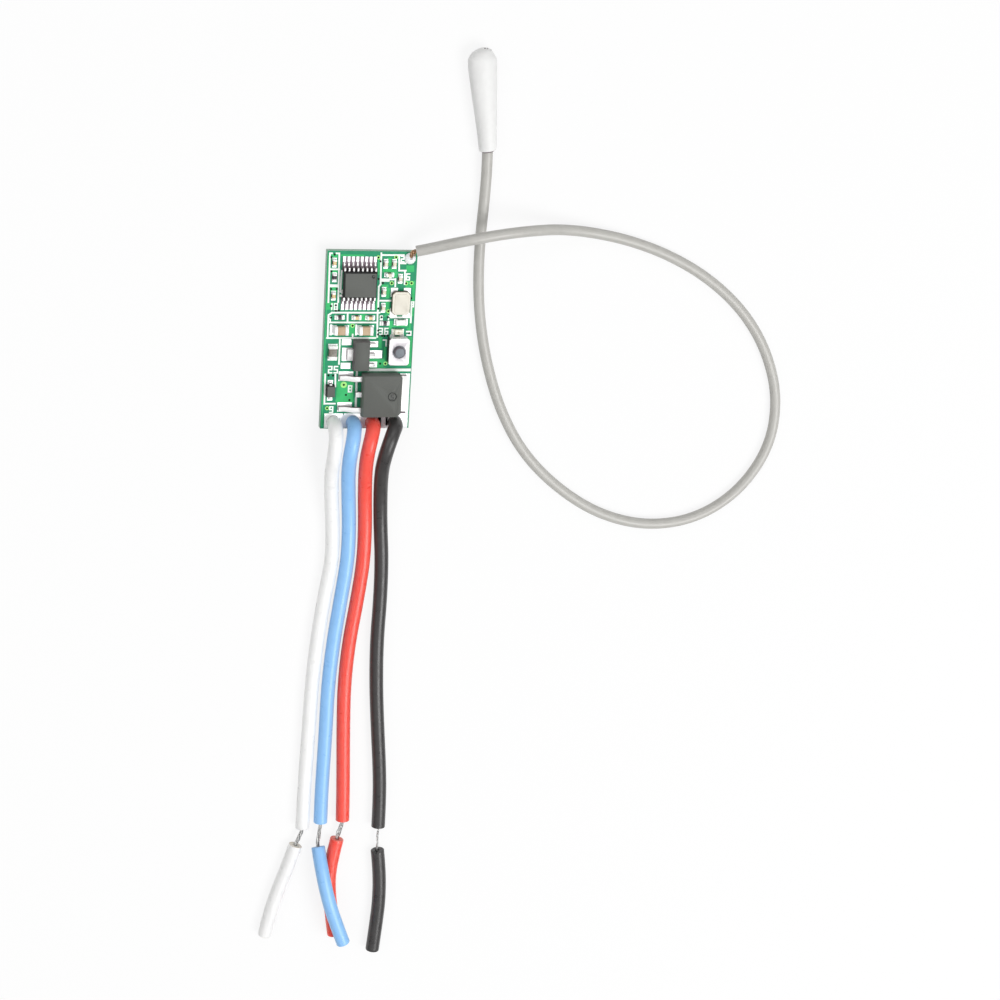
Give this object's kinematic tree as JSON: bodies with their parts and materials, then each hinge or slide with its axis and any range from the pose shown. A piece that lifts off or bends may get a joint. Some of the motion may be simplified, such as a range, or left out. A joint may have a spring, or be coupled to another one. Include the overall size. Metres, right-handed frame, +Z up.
{
  "type": "wireless receiver module",
  "caption": "Small circuit board with a radio receiver circuit, voltage regulator, power transistor and pairing switch, stripped hook-up leads and a wire antenna.",
  "frame": {"origin": "on the surface that the module lies on, under the centre of the board", "axes": "+Z up through the board's component side; +Y along the board towards the antenna's hole; +X across it"},
  "size_m": [0.0772, 0.1402, 0.0063],
  "materials": {
    "solder_mask": "green solder mask over glass-fibre laminate",
    "tin": "tin plating over copper",
    "solder": "soft solder, smooth and bright",
    "copper": "bare copper",
    "moulding": "fine-textured black epoxy",
    "silicon": "polished silicon",
    "ceramic": "fired ceramic",
    "lid_metal": "plated lid, satin",
    "quartz": "clear quartz",
    "switch_plastic": "moulded switch base",
    "cover_steel": "pressed cover, satin",
    "button_plastic": "moulded button",
    "spring_steel": "thin spring sheet",
    "led_plate": "white carrier plate",
    "led_resin": "clear resin with a faint yellow tint",
    "capacitor_ceramic": "tan ceramic",
    "resistor_glaze": "dark glaze",
    "pale_ceramic": "pale ceramic",
    "grey_pvc": "soft warm grey insulation",
    "sleeve_grey": "shrunk sleeve, satin",
    "white_pvc": "soft insulation, satin",
    "blue_pvc": "soft insulation, satin",
    "red_pvc": "soft insulation, satin",
    "black_pvc": "soft insulation, satin"
  },
  "bodies": {
    "module": {"circuit_board": "solder_mask", "component_pads": "tin", "plated_hole_eyelets": "tin", "lead_solder_joints": "solder", "antenna_solder_joint": "solder", "receiver_ic_body": "moulding", "receiver_ic_leads": "tin", "receiver_ic_paddle": "copper", "receiver_ic_die": "silicon", "power_mosfet_body": "moulding", "power_mosfet_lead_frame": "tin", "power_mosfet_die": "silicon", "regulator_body": "moulding", "regulator_lead_frame": "tin", "regulator_die": "silicon", "diode_body": "moulding", "diode_terminals": "tin", "crystal_base": "ceramic", "crystal_lid": "lid_metal", "crystal_quartz_blank": "quartz", "crystal_terminals": "tin", "switch_housing": "switch_plastic", "switch_cover": "cover_steel", "switch_snap_dome": "spring_steel", "switch_terminals": "tin", "led_carrier": "led_plate", "led_terminals": "tin", "led_die": "silicon", "led_lens": "led_resin", "small_capacitor_bodies": "capacitor_ceramic", "small_capacitor_terminals": "tin", "small_resistor_bodies": "resistor_glaze", "small_resistor_terminals": "tin", "small_inductor_bodies": "pale_ceramic", "small_inductor_terminals": "tin", "large_capacitor_bodies": "capacitor_ceramic", "large_capacitor_terminals": "tin", "large_resistor_bodies": "resistor_glaze", "large_resistor_terminals": "tin", "middle_inductor_bodies": "pale_ceramic", "middle_inductor_terminals": "tin", "antenna_insulation": "grey_pvc", "antenna_strands": "copper", "antenna_end_sleeve": "sleeve_grey", "white_lead_insulation": "white_pvc", "white_lead_strands": "tin", "white_lead_cut_end": "white_pvc", "blue_lead_insulation": "blue_pvc", "blue_lead_strands": "tin", "blue_lead_cut_end": "blue_pvc", "red_lead_insulation": "red_pvc", "red_lead_strands": "tin", "red_lead_cut_end": "red_pvc", "black_lead_insulation": "black_pvc", "black_lead_strands": "tin", "black_lead_cut_end": "black_pvc"},
    "plunger": {"switch_plunger": "button_plastic"}
  },
  "joints": [
    {"name": "pairing_button", "type": "slide", "parent": "module", "child": "plunger", "axis": [0, 0, -1], "range_m": [0, 0.00025], "stiffness_N_per_m": 6400, "deforming": ["switch_snap_dome"]}
  ]
}
